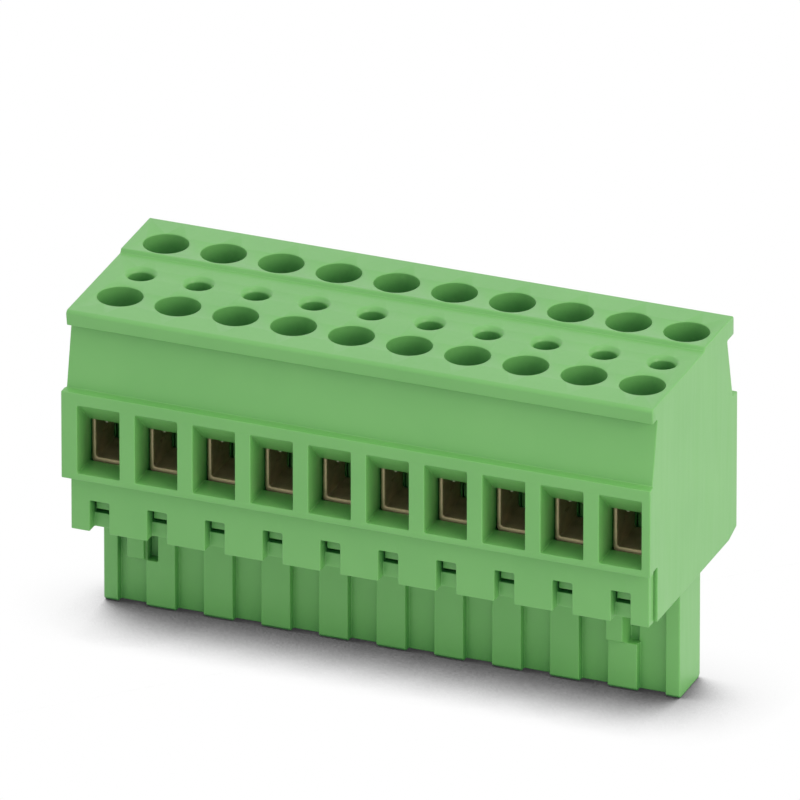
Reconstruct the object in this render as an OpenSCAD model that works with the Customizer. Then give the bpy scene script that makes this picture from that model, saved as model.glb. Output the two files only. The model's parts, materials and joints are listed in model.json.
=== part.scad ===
// Pluggable screw terminal block with two wire entries for every pole: one at the front and one
// at the back. A rising clamp cage holds each wire against a bar that runs from front to back,
// and the bar carries the spring socket that the header pin enters from below.
// Millimetres, +Z up, +X along the row of poles, -Y towards the front. The origin is in the
// middle of the block, on the plane that the plug stands on.

/* [Poles] */
// Number of poles
poles = 10; // [2:1:10]
// Distance from one pole to the next
pitch = 5.08; // [5:0.02:6.2]
// How far the clamp chambers sit to the right of the middle of the block
pole_shift = 0.33; // [0:0.01:0.4]
// Length that both ends of the housing add to the row of poles
end_allowance = 5.58; // [5.3:0.02:8]

/* [Wire entries] */
// Depth of a front wire funnel, from the frame face to the clamp chamber
front_funnel = 2.8; // [2.4:0.1:4]
// Depth of a back wire funnel
rear_funnel = 3.1; // [2.7:0.1:4]
// Height of the throat edge above the underside of the bar
throat_over_bar = 0.15; // [0.05:0.05:0.4]
// Height of the funnel roof at its mouth, above the throat edge
roof_rise = 2.45; // [1:0.05:2.6]
// How far the funnel floor lies below the floor of the open cage
floor_drop = 0.3; // [0.1:0.05:0.4]
// Height of the frame rail over the funnel mouths
frame_rail = 1.05; // [0.6:0.05:1.3]

/* [Housing walls] */
// Wall left between the two rows of clamp chambers
mid_wall = 5.75; // [5.4:0.05:8]
// How far the frame stands out past each end face
frame_proud = 0.15; // [0.05:0.01:0.3]
// Height of the lip round the top, front and back
lip_h = 1.4; // [1:0.1:1.6]
// How far the front lip lies behind the frame face
front_lip_back = 0.8; // [0.5:0.05:1]
// How far the back lip lies inside the back face
rear_lip_back = 0.9; // [0.5:0.05:1.1]
// How far the top edge of the sloping front wall lies behind the frame face
front_wall_top = 2; // [1.7:0.05:2.2]
// How far the foot of the sloping front wall lies behind the frame face
front_wall_foot = 0.9; // [0.5:0.05:1.2]
// How far the top edge of the sloping back wall lies inside the back face
rear_wall_top = 2.35; // [1.9:0.05:2.5]
// How far the foot of the sloping back wall lies inside the back face
rear_wall_foot = 1.05; // [0.5:0.05:1.3]
// Radius of the upper edges of both lips
lip_r = 0.35; // [0.1:0.05:0.5]
// Height of the step that raises the back half of the top
top_step = 0.33; // [0.1:0.01:0.6]
// Land between the step and the edge of the back screw holes
step_land = 0.45; // [0.3:0.05:0.8]
// Thickness of the end walls beside the plug moulding
end_wall = 0.6; // [0.4:0.05:0.8]
// Thickness of the back wall behind the plug moulding
back_wall = 1.2; // [0.8:0.1:1.6]
// Height of the chamfer along the lower back edge
back_chamfer = 0.55; // [0.2:0.05:1]

/* [Clamps] */
// Diameter of the screw over its thread
screw_d = 2.9; // [2.5:0.05:2.9]
// Diameter of the screw head
head_d = 3.5; // [3.3:0.05:3.6]
// Height of the screw head
head_h = 1.75; // [1.3:0.05:2.2]
// Depth of the screw head below the top
head_in = 2.4; // [2:0.1:4]
// Width of the screwdriver slot
slot_w = 0.6; // [0.4:0.05:0.8]
// Depth of the screwdriver slot
slot_d = 0.85; // [0.5:0.05:1.1]
// Play between a screw head and its access hole, on each side
head_play = 0.15; // [0.1:0.01:0.2]
// Thickness of the ledge that each screw head rests on
ledge_t = 1; // [0.7:0.1:1.6]
// Depth of a cage from front to back
cage_d = 4.1; // [3.7:0.1:4.6]
// Thickness of the side walls of a cage
cage_wall = 0.4; // [0.3:0.02:0.44]
// Thickness of the floor of a cage
cage_floor = 0.55; // [0.4:0.05:0.8]
// Thickness of the threaded top of a cage
cage_top = 1.4; // [1:0.1:2]
// Outer radius of the lower edges of a cage
cage_r = 0.45; // [0.2:0.05:0.5]
// Height open to the wire between the bar and the cage floor
wire_room = 3.3; // [3:0.1:4]
// How far a cage rises when its screw is driven home
cage_travel = 2.8; // [2:0.1:2.9]
// Space below an open cage
cage_gap = 0.35; // [0.2:0.05:0.6]

/* [Contacts] */
// Width of the bar and the socket arms
bar_w = 2.5; // [2.2:0.05:2.5]
// Thickness of the bar
bar_t = 1; // [0.7:0.05:1.2]
// How far the bar ends lie inside the cage faces
bar_in = 0.2; // [0.1:0.05:0.4]
// Thickness of the socket arms
arm_t = 0.4; // [0.25:0.05:0.5]
// Outer distance across the two socket arms at the bar
arm_span = 2.5; // [2.2:0.05:2.8]
// Gap between the two arms where they grip the pin
pin_gap = 0.8; // [0.5:0.05:0.9]
// Length of arm over which the two arms close
arm_close = 5.5; // [4:0.1:6.5]
// Length of the flared arm tips
arm_flare = 1.6; // [1:0.1:2]
// How far the socket lies behind the middle of the wall between the chambers
socket_back = 0.8; // [0.7:0.05:1]
// Diameter of the grip pips under the bar
pip_d = 0.5; // [0.3:0.05:0.7]
// Height of the grip pips
pip_h = 0.25; // [0.1:0.05:0.3]

/* [Test sockets] */
// Diameter of the test sockets
test_d = 2.1; // [1.6:0.05:2.2]
// Diameter of the countersink of a test socket
test_sink_d = 2.7; // [2.3:0.05:2.9]
// Depth of that countersink
test_sink_h = 0.35; // [0.2:0.05:0.5]
// How far the test sockets lie in front of the middle of the wall between the chambers
test_forward = 0.475; // [0.3:0.025:0.7]

/* [Plug moulding] */
// Height of the ribbed plug below the block
plug_h = 9.7; // [9:0.1:12]
// Height of the strip below the frame
strip_h = 5; // [4.6:0.1:6]
// How far the strip lies behind the frame face
strip_back = 1; // [0.8:0.05:1.1]
// Thickness of the strip
strip_t = 1.1; // [0.9:0.05:1.1]
// How far the plug moulding stays inside each end face
plug_inset = 0.3; // [0.1:0.05:0.4]
// Thickness of the plug walls in front of and behind the socket
plug_wall = 0.675; // [0.55:0.025:0.9]
// Width of a rib of the plug
rib_w = 2.59; // [1.8:0.01:3]
// Depth of the recesses between the ribs
rib_h = 0.75; // [0.4:0.05:1.2]
// Thickness of the plug bottom under the sockets
plug_floor = 1.2; // [0.8:0.1:1.5]
// Width of the hole for a header pin
pin_hole = 1.5; // [1.3:0.05:1.8]
// Width that the lead-in adds on each side of a pin hole
lead_in = 0.4; // [0.2:0.05:0.45]
// Chamfer of the lower edges of the plug
plug_chamfer = 0.25; // [0.1:0.05:0.4]

/* [Latches and keys] */
// Width of a latch window in the strip
window_w = 1.7; // [1.5:0.05:2]
// Height of a latch window
window_h = 2.8; // [2.4:0.1:3.2]
// Width of a latch finger
finger_w = 1.5; // [1.1:0.05:1.5]
// Thickness of a latch finger
finger_t = 0.65; // [0.4:0.05:0.65]
// Depth of the hook at the end of a finger
hook_d = 0.3; // [0.1:0.05:0.4]
// Height of that hook
hook_h = 0.8; // [0.4:0.05:1]
// Height of the slot that shows below a finger
latch_slot = 0.3; // [0.2:0.05:0.5]
// Height of the closed wall below that slot
latch_sill = 1.3; // [1:0.05:1.5]
// Width of a key nib
nib_w = 1.5; // [1:0.05:1.6]
// Length of a key nib
nib_h = 5.4; // [3:0.1:6]
// How far the left nib stands out from the ribs
left_nib_proud = 0.45; // [0.2:0.05:0.8]
// How far the right nib stands out from the ribs
right_nib_proud = 1; // [0.2:0.05:1.2]
// How far the right nib lies inside the left edge of its rib
right_nib_in = 0.2; // [0.05:0.05:0.6]
// Width of the coding slot beside each nib
coding_w = 0.9; // [0.5:0.05:1]
// Depth of the coding slots
coding_d = 1; // [0.6:0.05:1.1]
// Land between the left nib and its coding slot
coding_land = 0.15; // [0:0.05:0.3]

/* [Clearances] */
// Gap between parts that sit against each other
fit = 0.05; // [0.02:0.01:0.08]
// Running gap round the cages
run = 0.1; // [0.06:0.01:0.12]

/* [Hidden] */
$fn = 48;
eps = 0.01;
cut = 2;
ARC_STEPS = 5;
PLASTIC = "#74bb6e";
STEEL = "#b9b4a6";
TINNED = "#cfcabd";

// Levels, from the plane that the plug stands on upwards
z_under = plug_h;
z_seat = z_under + strip_h;
z_cage_bottom = z_seat + cage_gap;
z_cage_floor = z_cage_bottom + cage_floor;
z_bar_bottom = z_cage_floor + wire_room;
z_bar_top = z_bar_bottom + bar_t;
z_plate_bottom = z_bar_top + run;
z_cage_top = z_plate_bottom + cage_top;
z_ledge_bottom = z_cage_top + cage_travel + run;
z_ledge_top = z_ledge_bottom + ledge_t;
z_head_bottom = z_ledge_top + fit;
z_head_top = z_head_bottom + head_h;
z_top = z_head_top + head_in;
z_entry_floor = z_cage_floor - floor_drop;
z_throat = z_bar_bottom + throat_over_bar;
z_mouth = z_throat + roof_rise;
z_frame_top = z_mouth + frame_rail;

// Widths along the row
cage_w = bar_w + 2 * run + 2 * cage_wall;
chamber_w = cage_w + 2 * run;
block_l = (poles - 1) * pitch + end_allowance;
plug_l = block_l - 2 * plug_inset;
core_l = block_l - 2 * (end_wall + fit);
function pole_x(i) = (i - (poles - 1) / 2) * pitch + pole_shift;
function window_x(i) = (i - (poles - 1) / 2) * pitch;

// Places from front to back
chamber_d = cage_d + 2 * run;
block_d = front_funnel + rear_funnel + 2 * chamber_d + mid_wall;
y_front = -block_d / 2;
y_rear = block_d / 2;
y_front_axis = y_front + front_funnel + chamber_d / 2;
y_rear_axis = y_rear - rear_funnel - chamber_d / 2;
y_mid = y_front + front_funnel + chamber_d + mid_wall / 2;
y_test = y_mid - test_forward;
y_socket = y_mid + socket_back;
y_step = y_rear_axis - head_d / 2 - head_play - step_land;
y_strip = y_front + strip_back;
y_finger = y_strip + strip_t;
y_core_rear = y_rear - back_wall - fit;
socket_d = arm_span + 2 * fit;
socket_w = bar_w + 2 * run;
y_recess = y_socket - socket_d / 2 - plug_wall;
y_rib = y_recess - rib_h;
y_plug_rear = y_socket + socket_d / 2 + plug_wall;
z_socket_floor = plug_floor;
z_pinch = z_under - arm_close;
z_tip = z_pinch - arm_flare;
z_window = z_under + window_h;
z_sill = z_under + latch_sill;
z_finger = z_sill + latch_slot;
z_core_top = z_seat - fit;
z_post_top = z_bar_bottom - fit;

// Points on an arc round centre c, from angle a to angle b
function arc(c, r, a, b) =
    [for (k = [0:ARC_STEPS]) let (t = a + (b - a) * k / ARC_STEPS) c + r * [cos(t), sin(t)]];

// A block between two opposite corners
module span(a, b) translate(a) cube(b - a);

// Runs an outline drawn in Y and Z along the row, from x = a to x = b
module along_row(a, b) translate([a, 0, 0]) rotate([90, 0, 90]) linear_extrude(b - a) children();

// ---- Terminal housing ----

// End view of the housing: frame, sloping walls and the lips round the top
module housing_outline() {
    y_end_wall = y_finger + fit;
    z_bottom = z_under + fit;
    polygon(concat(
        [
            [y_end_wall, z_bottom],
            [y_end_wall, z_seat],
            [y_front, z_seat],
            [y_front, z_frame_top],
            [y_front + front_wall_foot, z_frame_top],
            [y_front + front_wall_top, z_top - lip_h],
            [y_front + front_lip_back + lip_r / 2, z_top - lip_h]
        ],
        arc([y_front + front_lip_back + lip_r, z_top - lip_r], lip_r, 180, 90),
        [
            [y_step, z_top],
            [y_step + top_step / 2, z_top + top_step]
        ],
        arc([y_rear - rear_lip_back - lip_r, z_top + top_step - lip_r], lip_r, 90, 0),
        [
            [y_rear - rear_lip_back, z_top - lip_h],
            [y_rear - rear_wall_top, z_top - lip_h],
            [y_rear - rear_wall_foot, z_frame_top],
            [y_rear, z_frame_top],
            [y_rear, z_bottom + back_chamfer],
            [y_rear - back_wall - back_chamfer, z_bottom]
        ]
    ));
}

// Frame round the front funnel mouths, a little longer than the block
module frame() {
    half = block_l / 2 + frame_proud;
    span([-half, y_front, z_seat], [half, y_front + front_wall_foot, z_frame_top]);
}

// Funnel of one wire entry, from the mouth at y = 0 to the throat at y = depth
module funnel(depth) {
    along_row(-chamber_w / 2, chamber_w / 2) polygon([
        [-cut, z_entry_floor],
        [depth + eps, z_entry_floor],
        [depth + eps, z_throat],
        [depth, z_throat],
        [0, z_mouth],
        [-cut, z_mouth]
    ]);
}

// Room for one cage, with the ledge hole and the screwdriver hole above it
module clamp_chamber() {
    span([-chamber_w / 2, -chamber_d / 2, z_seat - cut],
         [chamber_w / 2, chamber_d / 2, z_ledge_bottom]);
    translate([0, 0, z_ledge_bottom - eps]) cylinder(h = ledge_t + 2 * eps, d = screw_d + 2 * run);
    translate([0, 0, z_ledge_top]) cylinder(h = z_top + cut - z_ledge_top, d = head_d + 2 * head_play);
}

// Countersunk hole that a test probe enters to touch the bar
module test_socket() {
    z_sink = z_top - test_sink_h;
    translate([0, 0, z_bar_top]) cylinder(h = z_top - z_bar_top + cut, d = test_d);
    translate([0, 0, z_sink]) cylinder(h = test_sink_h, d1 = test_d, d2 = test_sink_d);
    translate([0, 0, z_top]) cylinder(h = cut, d = test_sink_d);
}

// Slit that lets the bar and its socket arms in from below
module bar_slit() {
    span([-bar_w / 2 - fit, y_front_axis, z_seat - cut],
         [bar_w / 2 + fit, y_rear_axis, z_bar_top + fit]);
}

// Finger that hangs behind a window of the strip and hooks into the plug moulding
module latch_finger() {
    along_row(-finger_w / 2, finger_w / 2) polygon([
        [y_finger + fit, z_seat + fit],
        [y_finger + fit, z_finger],
        [y_finger + finger_t, z_finger],
        [y_finger + finger_t + hook_d, z_finger + hook_h / 2],
        [y_finger + finger_t + hook_d, z_finger + hook_h],
        [y_finger + finger_t, z_finger + hook_h],
        [y_finger + finger_t, z_seat + fit]
    ]);
}

module terminal_housing() {
    color(PLASTIC) {
        difference() {
            union() {
                along_row(-block_l / 2, block_l / 2) housing_outline();
                frame();
            }
            span([-core_l / 2 - fit, y_front - cut, z_under - cut],
                 [core_l / 2 + fit, y_rear - back_wall, z_seat]);
            for (i = [0:poles - 1]) {
                translate([pole_x(i), 0, 0]) {
                    translate([0, y_front_axis, 0]) clamp_chamber();
                    translate([0, y_rear_axis, 0]) clamp_chamber();
                    translate([0, y_front, 0]) funnel(front_funnel);
                    translate([0, y_rear, 0]) mirror([0, 1, 0]) funnel(rear_funnel);
                    translate([0, y_test, 0]) test_socket();
                    bar_slit();
                }
            }
        }
        for (i = [0:poles - 1]) translate([window_x(i), 0, 0]) latch_finger();
    }
}

// ---- Plug housing ----

// End view of the ribbed plug
module plug_outline() {
    polygon([
        [y_rib, z_under + eps],
        [y_rib, plug_chamfer],
        [y_rib + plug_chamfer, 0],
        [y_plug_rear - plug_chamfer, 0],
        [y_plug_rear, plug_chamfer],
        [y_plug_rear, z_under + eps]
    ]);
}

// Posts that hold the bar up from below, in front of and behind the socket arms
module bar_posts() {
    half = bar_w / 2 - fit;
    y_a = y_front_axis + chamber_d / 2 + fit;
    y_b = y_rear_axis - chamber_d / 2 - fit;
    y_gap = socket_d / 2;
    span([-half, y_a, z_core_top - eps], [half, y_socket - y_gap, z_post_top]);
    span([-half, y_socket + y_gap, z_core_top - eps], [half, y_b, z_post_top]);
}

// Well for the socket arms, with the pin hole and its lead-in at the bottom
module socket_well() {
    mouth = pin_hole / 2 + lead_in;
    throat = pin_hole / 2;
    span([-socket_w / 2, y_socket - socket_d / 2, z_socket_floor],
         [socket_w / 2, y_socket + socket_d / 2, z_seat + cut]);
    translate([0, y_socket, 0]) {
        span([-throat, -throat, -cut], [throat, throat, z_socket_floor + eps]);
        intersection() {
            along_row(-mouth, mouth)
                polygon([[-mouth, -eps], [mouth, -eps], [throat, 2 * lead_in], [-throat, 2 * lead_in]]);
            rotate([0, 0, 90]) along_row(-mouth, mouth)
                polygon([[-mouth, -eps], [mouth, -eps], [throat, 2 * lead_in], [-throat, 2 * lead_in]]);
        }
    }
}

// Window in the strip, and the pocket behind it that takes a latch finger
module latch_window() {
    half = finger_w / 2 + run;
    y_throat = y_finger + finger_t + fit;
    span([-window_w / 2, y_strip - cut, z_under - cut], [window_w / 2, y_finger, z_window]);
    span([-half, y_finger, z_sill], [half, y_throat, z_seat + cut]);
    span([-half, y_throat - eps, z_sill], [half, y_throat + hook_d, z_finger + hook_h + fit]);
}

// Key nib in front of the ribs: its lower end slopes back
module key_nib(proud) {
    slope = proud / 2;
    along_row(0, nib_w) polygon([
        [y_recess + eps, z_under + eps],
        [y_rib - proud, z_under + eps],
        [y_rib - proud, z_under - nib_h + slope],
        [y_rib, z_under - nib_h],
        [y_recess + eps, z_under - nib_h]
    ]);
}

module plug_housing() {
    first_rib = window_x(0) + pitch / 2 - rib_w / 2;
    last_rib = window_x(poles - 1) - pitch / 2 - rib_w / 2;
    recess_w = pitch - rib_w;
    color(PLASTIC) difference() {
        union() {
            span([-core_l / 2, y_finger - eps, z_under], [core_l / 2, y_core_rear, z_core_top]);
            span([-plug_l / 2, y_strip, z_under], [plug_l / 2, y_finger, z_core_top]);
            difference() {
                along_row(-plug_l / 2, plug_l / 2) plug_outline();
                for (i = [0:poles - 1]) translate([window_x(i), 0, 0])
                    span([-recess_w / 2, y_rib - cut, -cut], [recess_w / 2, y_recess, z_under]);
            }
            translate([first_rib - nib_w, 0, 0]) key_nib(left_nib_proud);
            translate([last_rib + right_nib_in, 0, 0]) key_nib(right_nib_proud);
            for (i = [0:poles - 1]) translate([pole_x(i), 0, 0]) bar_posts();
        }
        for (i = [0:poles - 1]) {
            translate([pole_x(i), 0, 0]) socket_well();
            translate([window_x(i), 0, 0]) latch_window();
        }
        for (x = [first_rib + coding_land, last_rib + right_nib_in + nib_w])
            span([x, y_rib - cut, z_under - nib_h], [x + coding_w, y_rib + coding_d, z_under]);
    }
}

// ---- Metal parts ----

// Slotted clamp screw: its head rests on the ledge and its tip ends just above the bar
module screw() {
    r = screw_d / 2;
    tip = r / 4;
    edge = head_h / 8;
    z_tip_end = z_bar_top + fit;
    color(STEEL) difference() {
        rotate_extrude() polygon([
            [0, z_tip_end],
            [r - tip, z_tip_end],
            [r, z_tip_end + tip],
            [r, z_head_bottom],
            [head_d / 2, z_head_bottom],
            [head_d / 2, z_head_top - edge],
            [head_d / 2 - edge, z_head_top],
            [0, z_head_top]
        ]);
        span([-head_d, -slot_w / 2, z_head_top - slot_d], [head_d, slot_w / 2, z_head_top + cut]);
    }
}

// Clamp cage: a folded box, open to the front and back, with the thread in its top.
// The thread runs on down the side walls as far as the tip of the screw comes into the cage.
module cage() {
    half = cage_w / 2;
    z_groove = z_bar_top - cage_travel;
    color(STEEL) difference() {
        translate([0, cage_d / 2, 0]) rotate([90, 0, 0]) linear_extrude(cage_d) polygon(concat(
            arc([-half + cage_r, z_cage_bottom + cage_r], cage_r, 180, 270),
            arc([half - cage_r, z_cage_bottom + cage_r], cage_r, 270, 360),
            [[half, z_cage_top], [-half, z_cage_top]]
        ));
        span([-half + cage_wall, -cage_d, z_cage_floor], [half - cage_wall, cage_d, z_plate_bottom]);
        translate([0, 0, z_groove]) cylinder(h = z_cage_top + cut - z_groove, d = screw_d + 2 * fit);
    }
}

// End view of one socket arm: straight down from the bar, then in to the pin and out again
module arm_outline() {
    outer = -arm_span / 2;
    grip = -pin_gap / 2;
    polygon([
        [outer, z_bar_bottom + eps],
        [outer + arm_t, z_bar_bottom + eps],
        [outer + arm_t, z_under],
        [grip, z_pinch],
        [grip - arm_t / 2, z_tip],
        [grip - 3 * arm_t / 2, z_tip],
        [grip - arm_t, z_pinch],
        [outer, z_under]
    ]);
}

// Contact: the bar between both clamps, with grip pips, and the two socket arms below it
module contact() {
    y_a = y_front_axis - cage_d / 2 + bar_in;
    y_b = y_rear_axis + cage_d / 2 - bar_in;
    color(TINNED) {
        along_row(-bar_w / 2, bar_w / 2) {
            translate([y_a, z_bar_bottom]) square([y_b - y_a, bar_t]);
            translate([y_socket, 0]) arm_outline();
            translate([y_socket, 0]) mirror([1, 0]) arm_outline();
        }
        for (y = [y_a + pip_d, y_b - pip_d]) for (x = [-bar_w / 4, bar_w / 4])
            translate([x, y, z_bar_bottom - pip_h]) cylinder(h = pip_h + eps, d = pip_d);
    }
}

terminal_housing();
plug_housing();
for (i = [1:poles]) translate([pole_x(i - 1), 0, 0]) {
    translate([0, y_front_axis, 0]) screw();
    translate([0, y_rear_axis, 0]) screw();
    translate([0, y_front_axis, 0]) cage();
    translate([0, y_rear_axis, 0]) cage();
    contact();
}
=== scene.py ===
"""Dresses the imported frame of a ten-pole pluggable terminal block: moulded housings with soft
edges, threaded clamp screws, folded cages, tinned contacts, and a pale stage to look at them on."""
import json
import math

import bmesh
import bpy
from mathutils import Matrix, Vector

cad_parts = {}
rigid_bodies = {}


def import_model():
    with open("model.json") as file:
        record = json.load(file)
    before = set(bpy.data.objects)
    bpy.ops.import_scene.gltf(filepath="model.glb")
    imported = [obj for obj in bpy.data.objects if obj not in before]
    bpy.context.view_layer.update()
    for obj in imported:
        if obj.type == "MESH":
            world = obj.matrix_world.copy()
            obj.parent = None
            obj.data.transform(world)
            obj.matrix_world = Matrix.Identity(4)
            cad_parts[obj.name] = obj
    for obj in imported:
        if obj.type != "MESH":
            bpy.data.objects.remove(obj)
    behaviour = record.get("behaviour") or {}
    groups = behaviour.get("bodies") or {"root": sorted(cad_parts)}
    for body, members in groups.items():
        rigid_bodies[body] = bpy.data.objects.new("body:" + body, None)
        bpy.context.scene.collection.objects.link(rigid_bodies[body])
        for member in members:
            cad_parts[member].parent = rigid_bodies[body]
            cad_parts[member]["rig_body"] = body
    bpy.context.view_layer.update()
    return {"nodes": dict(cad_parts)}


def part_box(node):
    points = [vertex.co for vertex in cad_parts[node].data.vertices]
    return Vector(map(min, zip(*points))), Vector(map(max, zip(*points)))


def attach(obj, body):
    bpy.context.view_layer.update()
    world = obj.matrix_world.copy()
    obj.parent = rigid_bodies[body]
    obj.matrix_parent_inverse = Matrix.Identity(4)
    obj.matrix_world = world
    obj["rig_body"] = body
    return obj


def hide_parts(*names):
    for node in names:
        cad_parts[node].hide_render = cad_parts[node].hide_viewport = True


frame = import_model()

bl_info = {
    "name": "Pluggable terminal block",
    "version": (1, 0, 0),
    "blender": (4, 5, 0),
    "location": "3D View > Sidebar > Terminal block",
    "description": "Dresses the frame of a pluggable terminal block and sets a stage for it",
    "category": "Object",
}

MM = 0.001
WELD = 2e-7  # points closer than this, in metres, are one point
FLAT_TURN = math.radians(0.6)  # faces that turn less than this are one flat face
CRISP_TURN = math.radians(32)  # edges that turn more than this get rounded
SHARP_TURN = math.radians(35)  # edges that turn more than this are shaded as edges
NOISE_LOW, NOISE_HIGH = 0.3, 0.7  # most of a noise lies between these
# painted shade: between these shares of open sky, the moulding's colour is painted darker in its hollows
PAINTED_SHADE_SHUT, PAINTED_SHADE_OPEN = 0.08, 0.5  # share of open sky where a hollow is darkest, and where it ends
THREAD_STEPS = 32  # steps round one turn of a thread
THREAD_LEVELS = (0, 0.5, 1, 0.5)  # height of the thread from groove to crest and back
FLOOR_REACH = 4  # metres from the middle of the floor to its sides
LAMP_SIZE = 0.25  # metres along a side of a lamp
LAMP_AWAY = 0.5  # metres from a lamp to what it shines on
WHITE = (1.0, 1.0, 1.0)
NODES = frame["nodes"]
MOULDINGS = ("terminal_housing", "plug_housing")
SCREWS = [name for name in NODES if "_screw_" in name]
CAGES = [name for name in NODES if "_cage_" in name]
CONTACTS = [name for name in NODES if name.startswith("contact_")]


def linear(code):
    """Linear colour of an sRGB hex code such as #74bb6e."""
    parts = [int(code[i:i + 2], 16) / 255 for i in (1, 3, 5)]
    return tuple(p / 12.92 if p <= 0.04045 else ((p + 0.055) / 1.055) ** 2.4 for p in parts)


def length(name, description, millimetres):
    """A length property whose default is given in millimetres."""
    return bpy.props.FloatProperty(
        name=name, description=description, default=millimetres * MM, min=0, unit="LENGTH", precision=5)


def colour(name, description, code):
    """A colour property whose default is an sRGB hex code."""
    return bpy.props.FloatVectorProperty(
        name=name, description=description, default=linear(code), min=0, max=1, size=3, subtype="COLOR")


def share(name, description, value, top=1.0):
    """A plain number property from 0 to top."""
    return bpy.props.FloatProperty(name=name, description=description, default=value, min=0, max=top)


# ---- Settings ----

class MouldingSettings(bpy.types.PropertyGroup):
    """The two moulded housings."""
    green: colour("Green", "Colour of the polyamide", "#84c671")
    deep_green: colour("Deep green", "Colour where the pigment lies thicker", "#76ba66")
    edge_round: length("Edge rounding", "Radius of the soft edges that the mould leaves", 0.09)
    grain: length("Mould grain", "Size of the fine grain on the moulded faces", 0.16)
    roughness: share("Roughness", "Roughness of the satin face", 0.36)
    # painted shade: the next two settings paint the green darker and deeper in holes and slots
    painted_shade_reach: length("Hollow reach", "Width up to which a hole or slot counts as a hollow", 4)
    painted_shade_tone: colour("Hollow tone", "What the light keeps of its colour deep in a hollow", "#66ae9c")


class ClampSettings(bpy.types.PropertyGroup):
    """Screws, cages and contacts."""
    nickel: colour("Nickel", "Colour of the nickel plated cages", "#d8c3a2")
    zinc: colour("Zinc", "Colour of the zinc plated screws", "#c4c0b4")
    tin: colour("Tin", "Colour of the tin plated contacts", "#cdc7ba")
    edge_round: length("Edge rounding", "Radius of the edges of screws and contacts", 0.05)
    fold_round: length("Fold rounding", "Radius of the rolled edges of the cages", 0.15)
    thread: length("Thread", "Diameter over the screw thread", 2.9)
    thread_pitch: length("Thread pitch", "How far the thread rises in one turn", 0.5)
    thread_depth: length("Thread depth", "Depth of the thread groove", 0.27)
    head_height: length("Head height", "Height of the screw head", 1.75)


class StageSettings(bpy.types.PropertyGroup):
    """Floor, light and camera."""
    azimuth: bpy.props.FloatProperty(
        name="Azimuth", description="How far the camera stands to the right of the front",
        default=math.radians(21.5), subtype="ANGLE")
    elevation: bpy.props.FloatProperty(
        name="Elevation", description="How far the camera looks down",
        default=math.radians(25.66), subtype="ANGLE")
    view_width: length("View width", "Width of the view at the block", 65.36)
    aim_height: length("Aim height", "Height of the point that the camera looks at", 21.74)
    distance: length("Distance", "Distance of the camera", 2500)
    key: share("Key light", "Power of the large lamp at the right, in watts", 0.66, 100)
    top: share("Top light", "Power of the large lamp above, in watts", 0.38, 100)
    lamp_white: colour("Lamp white", "Colour of both lamps, a little warm", "#fffaec")
    ambient: colour("Ambient", "Colour and strength of the surroundings as light", "#ced3d7")
    shadow_reach: length("Shadow reach", "How far the soft shadow spreads on the floor", 9)
    shadow_core: share("Shadow core", "Share of open sky at which the floor is darkest", 0.27)
    sky_from: bpy.props.FloatVectorProperty(
        name="Sky from", description="Side of the sky that the floor's shadow is worked out from",
        default=(-0.5, 0.9, 1.0), size=3, subtype="DIRECTION")


# ---- Meshes ----

def middle(node):
    """Middle of a node's box."""
    low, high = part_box(node)
    return (Vector(low) + Vector(high)) / 2


def cut_at(bm, x):
    """Cuts the mesh through the plane at x and marks the cut, so that no flat face keeps a hole in it."""
    parts = bm.verts[:] + bm.edges[:] + bm.faces[:]
    cut = bmesh.ops.bisect_plane(bm, geom=parts, dist=10 * WELD, plane_co=(x, 0, 0), plane_no=(1, 0, 0))
    for part in cut["geom_cut"]:
        if isinstance(part, bmesh.types.BMEdge):
            part.seam = True


def soft_edged(node, radius, planes, origin=Vector((0, 0, 0))):
    """A mesh of a CAD node with its crisp edges rounded. planes are the x of cuts through its holes."""
    bm = bmesh.new()
    bm.from_mesh(NODES[node].data)
    bmesh.ops.remove_doubles(bm, verts=bm.verts, dist=WELD)
    for x in planes:
        cut_at(bm, x)
    bmesh.ops.dissolve_limit(
        bm, angle_limit=FLAT_TURN, verts=bm.verts, edges=bm.edges, delimit={"SEAM"})
    crisp = [e for e in bm.edges if len(e.link_faces) == 2
             and e.calc_face_angle() > CRISP_TURN and e.calc_length() > radius / 3]
    bmesh.ops.bevel(bm, geom=crisp, offset=radius, offset_type="OFFSET", segments=2, profile=0.5,
                    affect="EDGES", clamp_overlap=False, miter_outer="ARC")
    big = [face for face in bm.faces if len(face.verts) > 4]
    bmesh.ops.triangulate(bm, faces=big, quad_method="BEAUTY", ngon_method="BEAUTY")
    bmesh.ops.translate(bm, verts=bm.verts, vec=-origin)
    return bm


def finished_mesh(bm, name):
    """Turns a bmesh into a mesh whose curves are smooth and whose flats stay flat."""
    mesh = bpy.data.meshes.new(name)
    bm.to_mesh(mesh)
    bm.free()
    mesh.shade_smooth()
    mesh.set_sharp_from_angle(angle=SHARP_TURN)
    return mesh


def place(mesh, material, node, origin=Vector((0, 0, 0))):
    """Puts a piece made from mesh where a CAD node is, on the same body and in its material slot."""
    piece = bpy.data.objects.new(f"{node}_piece", mesh)
    piece.location = origin
    bpy.context.scene.collection.objects.link(piece)
    if not mesh.materials:
        mesh.materials.append(material)
    flats = piece.modifiers.new("Flat faces stay flat", "WEIGHTED_NORMAL")
    flats.keep_sharp = True
    flats.weight = 100
    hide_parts(node)
    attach(piece, NODES[node]["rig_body"])
    return piece


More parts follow.
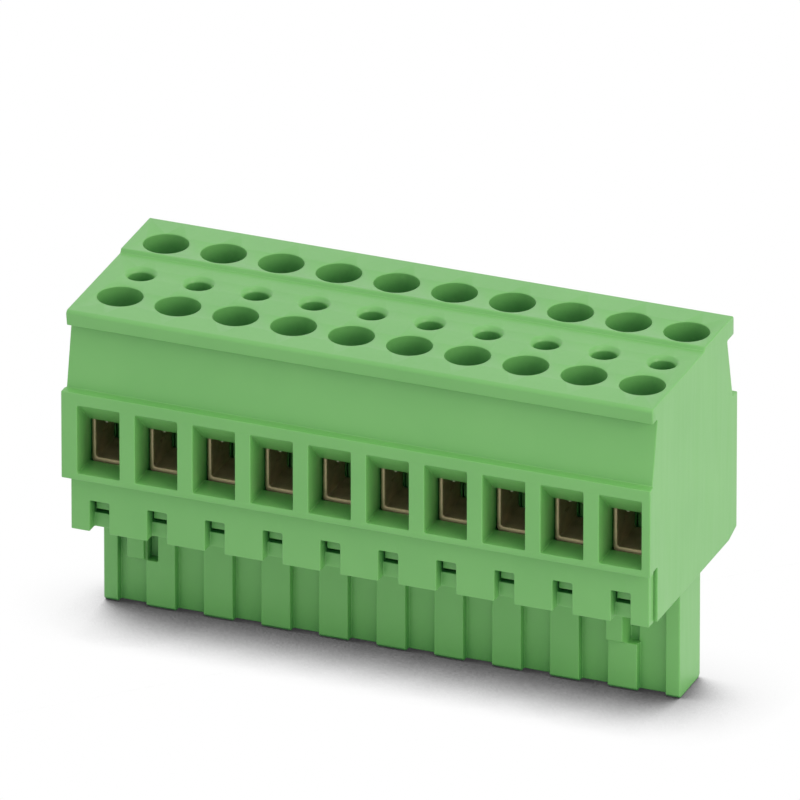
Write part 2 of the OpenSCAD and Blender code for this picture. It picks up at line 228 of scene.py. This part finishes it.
def add_thread(bm, z_low, z_high, crest, depth, pitch):
    """Adds a closed right-hand thread round the z axis, with a cone at its lower end."""
    per_turn = len(THREAD_LEVELS)
    tip = crest - depth * 1.2
    rows = per_turn * (math.ceil((z_high - z_low) / pitch) + 1) + 1
    columns = []
    for c in range(THREAD_STEPS):
        angle = math.tau * c / THREAD_STEPS
        column = []
        for row in range(-per_turn, rows):
            z = min(max(z_low + (row / per_turn + c / THREAD_STEPS) * pitch, z_low), z_high)
            cone = tip + (z - z_low)
            radius = min(crest - depth + depth * THREAD_LEVELS[row % per_turn], cone)
            column.append(bm.verts.new((radius * math.cos(angle), radius * math.sin(angle), z)))
        columns.append(column)
    for c in range(THREAD_STEPS):
        left = columns[c]
        right = columns[c + 1] if c + 1 < THREAD_STEPS else columns[0][per_turn:]
        for a, b, d, e in zip(left, right, right[1:], left[1:]):
            bm.faces.new((a, b, d, e))
    bm.faces.new([column[0] for column in reversed(columns)])
    bm.faces.new([column[-1 - per_turn] for column in columns])


# ---- Materials ----

def add(tree, kind, settings=None, links=None):
    """Adds one node. settings are its attributes and input values, links what feeds its inputs."""
    node = tree.nodes.new(kind)
    for key, value in (settings or {}).items():
        if isinstance(key, str) and hasattr(node, key):
            setattr(node, key, value)
        else:
            node.inputs[key].default_value = value
    for key, source in (links or {}).items():
        tree.links.new(source, node.inputs[key])
    return node


def new_material(name):
    """An empty material, its node tree and its output node."""
    material = bpy.data.materials.new(name)
    material.use_nodes = True
    tree = material.node_tree
    tree.nodes.clear()
    return material, tree, add(tree, "ShaderNodeOutputMaterial")


def per_metre(millimetres):
    """Texture scale at which a pattern repeats about every so many millimetres."""
    return 1 / (millimetres * MM)


def on_the_piece(tree):
    """Coordinates that stay with the piece, in metres."""
    return add(tree, "ShaderNodeTexCoord").outputs["Object"]


def stretched(tree, where, millimetres):
    """Coordinates in which a pattern repeats after so many millimetres along x, y and z."""
    return add(tree, "ShaderNodeMapping", {"Scale": tuple(per_metre(mm) for mm in millimetres)},
               {"Vector": where}).outputs["Vector"]


def noise(tree, where, scale, detail, roughness=0.5):
    """Soft noise round 0.5."""
    return add(tree, "ShaderNodeTexNoise", {"Scale": scale, "Detail": detail, "Roughness": roughness},
               {"Vector": where}).outputs["Fac"]


def spread(tree, value, low, high):
    """Spreads a noise over the range from low to high."""
    return add(tree, "ShaderNodeMapRange",
               {"From Min": NOISE_LOW, "From Max": NOISE_HIGH, "To Min": low, "To Max": high},
               {"Value": value}).outputs["Result"]


def blended(tree, first, second, second_share):
    """A colour between two plain ones."""
    return add(tree, "ShaderNodeMix", {"data_type": "RGBA", 6: (*first, 1), 7: (*second, 1)},
               {0: second_share}).outputs[2]


def darker(tone, part):
    """A colour at part of its brightness."""
    return [part * c for c in tone]


def relief(tree, strength, millimetres, height, under=None):
    """Relief of so many millimetres, laid over another one where there is one."""
    links = {"Height": height} if under is None else {"Height": height, "Normal": under}
    return add(tree, "ShaderNodeBump", {"Strength": strength, "Distance": millimetres * MM},
               links).outputs["Normal"]


def end_with(tree, output, settings, base, roughness, normal):
    """Ends a material with one surface of that colour, roughness and relief."""
    body = add(tree, "ShaderNodeBsdfPrincipled", settings,
               {"Base Color": base, "Roughness": roughness, "Normal": normal})
    tree.links.new(body.outputs["BSDF"], output.inputs["Surface"])


def moulded_polyamide(look):
    """Polyamide 66, pigmented green and moulded in a finely eroded tool: a satin, slightly cloudy
    skin with faint flow lines along the draw of the mould, and light that goes a little way in."""
    material, tree, output = new_material("moulded_polyamide_green")
    here = on_the_piece(tree)
    # clouds of pigment some 9 mm wide, as the melt leaves them
    clouds = noise(tree, here, per_metre(9), 3.0, 0.55)
    tint = blended(tree, look.green, look.deep_green, clouds)
    # painted shade: a narrow hollow is painted darker and a deeper green, by how much sky it hides, as
    # light there has met green walls before
    open_to = add(tree, "ShaderNodeAmbientOcclusion", {"samples": 6, "Distance": look.painted_shade_reach})
    painted_shade_mask = add(tree, "ShaderNodeMapRange", {"From Min": PAINTED_SHADE_SHUT, "From Max": PAINTED_SHADE_OPEN},
                   {"Value": open_to.outputs["AO"]})
    painted_hollow_shade = blended(tree, look.painted_shade_tone, WHITE, painted_shade_mask.outputs["Result"])
    tint_and_painted_shade = add(tree, "ShaderNodeMix", {"data_type": "RGBA", "blend_type": "MULTIPLY", 0: 1.0},
                 {6: tint, 7: painted_hollow_shade})
    # flow lines 0.5 mm apart and some 8 mm long, up the faces in the direction of the draw
    flow = noise(tree, stretched(tree, here, (0.5, 0.5, 8)), 1.0, 2.0)
    # the tool's grain is about 0.03 mm; it is drawn coarser so that it shows
    grain = noise(tree, here, 1 / look.grain, 4.0, 0.6)
    skin = spread(tree, flow, look.roughness - 0.03, look.roughness + 0.03)
    lines = relief(tree, 0.15, 0.004, flow)
    # light goes some 0.35 mm into the plastic and comes back greener
    end_with(tree, output,
             {"IOR": 1.53, "Subsurface Weight": 0.1, "Subsurface Radius": (0.5, 1.0, 0.4),
              "Subsurface Scale": 0.35 * MM},
             tint_and_painted_shade.outputs[2], skin, relief(tree, 0.5, 0.006, grain, lines))
    return material


def nickel_plated_steel(look):
    """Folded steel strip with dull nickel: a warm, broad shine with rolling marks along the wire."""
    material, tree, output = new_material("folded_steel_nickel_plated")
    here = on_the_piece(tree)
    # rolling marks 0.2 mm apart and 3 mm long, in the direction of the wire; real ones are finer
    marks = noise(tree, stretched(tree, here, (0.2, 3, 0.2)), 1.0, 3.0, 0.6)
    # darker stains some 1.2 mm wide, where the bath has left the nickel uneven
    stain = noise(tree, here, per_metre(1.2), 3.0)
    end_with(tree, output, {"Metallic": 1.0}, blended(tree, look.nickel, darker(look.nickel, 0.62), stain),
             spread(tree, marks, 0.55, 0.7), relief(tree, 0.4, 0.008, marks))
    return material


def zinc_plated_steel(look):
    """Turned steel with passivated zinc: pale grey, with the rings of the lathe on the head."""
    material, tree, output = new_material("turned_steel_zinc_plated")
    here = on_the_piece(tree)
    # a wave texture's rings repeat every 0.314 units over its scale; the lathe's feed is 0.12 mm
    feed = 0.12 * MM
    rings = add(tree, "ShaderNodeTexWave",
                {"wave_type": "RINGS", "rings_direction": "Z", "Scale": 0.314 / feed, "Distortion": 0.6},
                {"Vector": here})
    # duller clouds of passivation some 0.8 mm wide
    cloud = noise(tree, here, per_metre(0.8), 3.0)
    end_with(tree, output, {"Metallic": 1.0}, blended(tree, look.zinc, darker(look.zinc, 0.75), cloud),
             spread(tree, cloud, 0.28, 0.42), relief(tree, 0.3, 0.01, rings.outputs["Fac"]))
    return material


def tin_plated_bronze(look):
    """Stamped bronze under matt tin: a soft, pale shine that is duller in patches."""
    material, tree, output = new_material("stamped_bronze_tin_plated")
    here = on_the_piece(tree)
    # patches some 0.7 mm wide, and tin crystals about 0.1 mm across
    patches = noise(tree, here, per_metre(0.7), 4.0, 0.6)
    crystals = add(tree, "ShaderNodeTexVoronoi", {"Scale": per_metre(0.1)}, {"Vector": here})
    end_with(tree, output, {"Metallic": 1.0}, blended(tree, look.tin, darker(look.tin, 0.7), patches),
             spread(tree, patches, 0.22, 0.4), relief(tree, 0.25, 0.006, crystals.outputs["Distance"]))
    return material


def seen_rays(tree):
    """1 for the rays that show the surroundings: camera, mirror and clear material."""
    path = add(tree, "ShaderNodeLightPath")
    mirror = add(tree, "ShaderNodeMath", {"operation": "MAXIMUM"},
                 {0: path.outputs["Is Camera Ray"], 1: path.outputs["Is Glossy Ray"]})
    clear = add(tree, "ShaderNodeMath", {"operation": "MAXIMUM"},
                {0: mirror.outputs[0], 1: path.outputs["Is Transmission Ray"]})
    return clear.outputs[0]


def studio_paper(look):
    """Matt white paper that shows pure white with a soft shadow, and is clear from below. The eye sees
    a shadow worked out from how much of the sky the block hides; other light meets plain paper."""
    material, tree, output = new_material("matt_white_paper")
    sky = Vector(look.sky_from).normalized()
    towards = add(tree, "ShaderNodeCombineXYZ", {"X": sky.x, "Y": sky.y, "Z": sky.z})
    open_to = add(tree, "ShaderNodeAmbientOcclusion", {"samples": 8, "Distance": look.shadow_reach},
                  {"Normal": towards.outputs["Vector"]})
    shade = add(tree, "ShaderNodeMapRange",
                {"interpolation_type": "SMOOTHSTEP", "From Min": look.shadow_core, "To Min": 0.03},
                {"Value": open_to.outputs["AO"]})
    shown = add(tree, "ShaderNodeEmission", {"Strength": 1.0}, {"Color": shade.outputs["Result"]})
    paper = add(tree, "ShaderNodeBsdfDiffuse", {"Color": (0.88, 0.88, 0.88, 1)})
    seen = add(tree, "ShaderNodeMixShader", {},
               {0: seen_rays(tree), 1: paper.outputs["BSDF"], 2: shown.outputs["Emission"]})
    clear = add(tree, "ShaderNodeBsdfTransparent")
    side = add(tree, "ShaderNodeNewGeometry")
    both = add(tree, "ShaderNodeMixShader", {},
               {0: side.outputs["Backfacing"], 1: seen.outputs["Shader"], 2: clear.outputs["BSDF"]})
    tree.links.new(both.outputs["Shader"], output.inputs["Surface"])
    return material


def pale_world(look):
    """White where it is seen, and a weaker even light on the object."""
    world = bpy.data.worlds.new("Pale studio")
    world.use_nodes = True
    tree = world.node_tree
    tree.nodes.clear()
    tone = blended(tree, look.ambient, WHITE, seen_rays(tree))
    light = add(tree, "ShaderNodeBackground", {"Strength": 1.0}, {"Color": tone})
    add(tree, "ShaderNodeOutputWorld", {}, {"Surface": light.outputs["Background"]})
    return world


# ---- Operators ----

class TERMINALBLOCK_OT_mouldings(bpy.types.Operator):
    """Gives both moulded housings their soft edges and their green polyamide"""
    bl_idname = "terminal_block.mouldings"
    bl_label = "Moulded housings"

    def execute(self, context):
        look = context.scene.terminal_mouldings
        material = moulded_polyamide(look)
        planes = [middle(node).x for node in CONTACTS]
        for node in MOULDINGS:
            mesh = finished_mesh(soft_edged(node, look.edge_round, planes), f"{node}_mesh")
            place(mesh, material, node)
        return {"FINISHED"}


class TERMINALBLOCK_OT_screws(bpy.types.Operator):
    """Makes the slotted clamp screws with their threads"""
    bl_idname = "terminal_block.screws"
    bl_label = "Clamp screws"

    def execute(self, context):
        look = context.scene.terminal_clamps
        material = zinc_plated_steel(look)
        origin = middle(SCREWS[0])
        low, high = (corner[2] - origin.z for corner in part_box(SCREWS[0]))
        head_bottom = high - look.head_height
        bm = soft_edged(SCREWS[0], look.edge_round, [origin.x], origin)
        crest = look.thread / 2
        shank = [v for v in bm.verts
                 if v.co.z < head_bottom - look.edge_round / 2 and v.co.xy.length < crest + WELD]
        bmesh.ops.delete(bm, geom=shank, context="VERTS")
        bmesh.ops.holes_fill(bm, edges=[e for e in bm.edges if e.is_boundary], sides=0)
        add_thread(bm, low, head_bottom + look.edge_round, crest, look.thread_depth, look.thread_pitch)
        bmesh.ops.remove_doubles(bm, verts=bm.verts, dist=WELD)
        bmesh.ops.recalc_face_normals(bm, faces=bm.faces)
        mesh = finished_mesh(bm, "clamp_screw")
        for node in SCREWS:
            place(mesh, material, node, middle(node))
        return {"FINISHED"}


class TERMINALBLOCK_OT_cages(bpy.types.Operator):
    """Makes the folded clamp cages"""
    bl_idname = "terminal_block.cages"
    bl_label = "Clamp cages"

    def execute(self, context):
        look = context.scene.terminal_clamps
        material = nickel_plated_steel(look)
        origin = middle(CAGES[0])
        mesh = finished_mesh(soft_edged(CAGES[0], look.fold_round, [origin.x], origin), "clamp_cage")
        for node in CAGES:
            place(mesh, material, node, middle(node))
        return {"FINISHED"}


class TERMINALBLOCK_OT_contacts(bpy.types.Operator):
    """Makes the contacts: bar, grip pips and socket arms"""
    bl_idname = "terminal_block.contacts"
    bl_label = "Contacts"

    def execute(self, context):
        look = context.scene.terminal_clamps
        material = tin_plated_bronze(look)
        origin = middle(CONTACTS[0])
        mesh = finished_mesh(soft_edged(CONTACTS[0], look.edge_round / 2, [origin.x], origin), "contact")
        for node in CONTACTS:
            place(mesh, material, node, middle(node))
        return {"FINISHED"}


def add_lamp(name, power, white, direction, aim):
    """A square area lamp that stands in that direction from aim and shines on it."""
    data = bpy.data.lights.new(name, "AREA")
    data.energy = power
    data.size = LAMP_SIZE
    data.color = white
    lamp = bpy.data.objects.new(name, data)
    lamp.location = aim + LAMP_AWAY * direction.normalized()
    lamp.rotation_euler = direction.to_track_quat("Z", "Y").to_euler()
    bpy.context.scene.collection.objects.link(lamp)


class TERMINALBLOCK_OT_stage(bpy.types.Operator):
    """Sets the pale floor, the soft lamps and the camera"""
    bl_idname = "terminal_block.stage"
    bl_label = "Stage"

    def execute(self, context):
        look = context.scene.terminal_stage
        scene = context.scene
        scene.view_settings.view_transform = "Standard"
        scene.world = pale_world(look)
        aim = Vector((0, 0, look.aim_height))

        sheet = bmesh.new()
        bmesh.ops.create_grid(sheet, x_segments=1, y_segments=1, size=FLOOR_REACH)
        floor = bpy.data.objects.new("floor", finished_mesh(sheet, "floor"))
        floor.data.materials.append(studio_paper(look))
        scene.collection.objects.link(floor)

        add_lamp("Key light", look.key, look.lamp_white, Vector((0.85, -0.25, 0.45)), aim)
        add_lamp("Top light", look.top, look.lamp_white, Vector((0.2, -0.1, 0.95)), aim)

        back = Vector((math.sin(look.azimuth) * math.cos(look.elevation),
                       -math.cos(look.azimuth) * math.cos(look.elevation),
                       math.sin(look.elevation)))
        data = bpy.data.cameras.new("Camera")
        data.lens = data.sensor_width * look.distance / look.view_width
        data.clip_end = 2 * (look.distance + FLOOR_REACH)
        camera = bpy.data.objects.new("Camera", data)
        camera.location = aim + look.distance * back
        camera.rotation_euler = back.to_track_quat("Z", "Y").to_euler()
        scene.collection.objects.link(camera)
        scene.camera = camera
        return {"FINISHED"}


# ---- Panel and registration ----

SETTINGS = {
    "terminal_mouldings": MouldingSettings,
    "terminal_clamps": ClampSettings,
    "terminal_stage": StageSettings,
}
STEPS = (
    TERMINALBLOCK_OT_mouldings,
    TERMINALBLOCK_OT_screws,
    TERMINALBLOCK_OT_cages,
    TERMINALBLOCK_OT_contacts,
    TERMINALBLOCK_OT_stage,
)


class TERMINALBLOCK_PT_panel(bpy.types.Panel):
    """Lists the pieces of the terminal block and their settings"""
    bl_idname = "TERMINALBLOCK_PT_panel"
    bl_label = "Terminal block"
    bl_space_type = "VIEW_3D"
    bl_region_type = "UI"
    bl_category = "Terminal block"

    def draw(self, context):
        for step in STEPS:
            self.layout.operator(step.bl_idname)
        for group, kind in SETTINGS.items():
            box = self.layout.box()
            for setting in kind.__annotations__:
                box.prop(getattr(context.scene, group), setting)


def register():
    for group in (*SETTINGS.values(), *STEPS, TERMINALBLOCK_PT_panel):
        bpy.utils.register_class(group)
    for name, group in SETTINGS.items():
        setattr(bpy.types.Scene, name, bpy.props.PointerProperty(type=group))


def unregister():
    for name in SETTINGS:
        delattr(bpy.types.Scene, name)
    for group in reversed((*SETTINGS.values(), *STEPS, TERMINALBLOCK_PT_panel)):
        bpy.utils.unregister_class(group)


def main():
    """Registers the add-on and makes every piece."""
    register()
    for step in STEPS:
        getattr(bpy.ops.terminal_block, step.bl_idname.split(".")[1])()


if __name__ == "__main__":
    main()
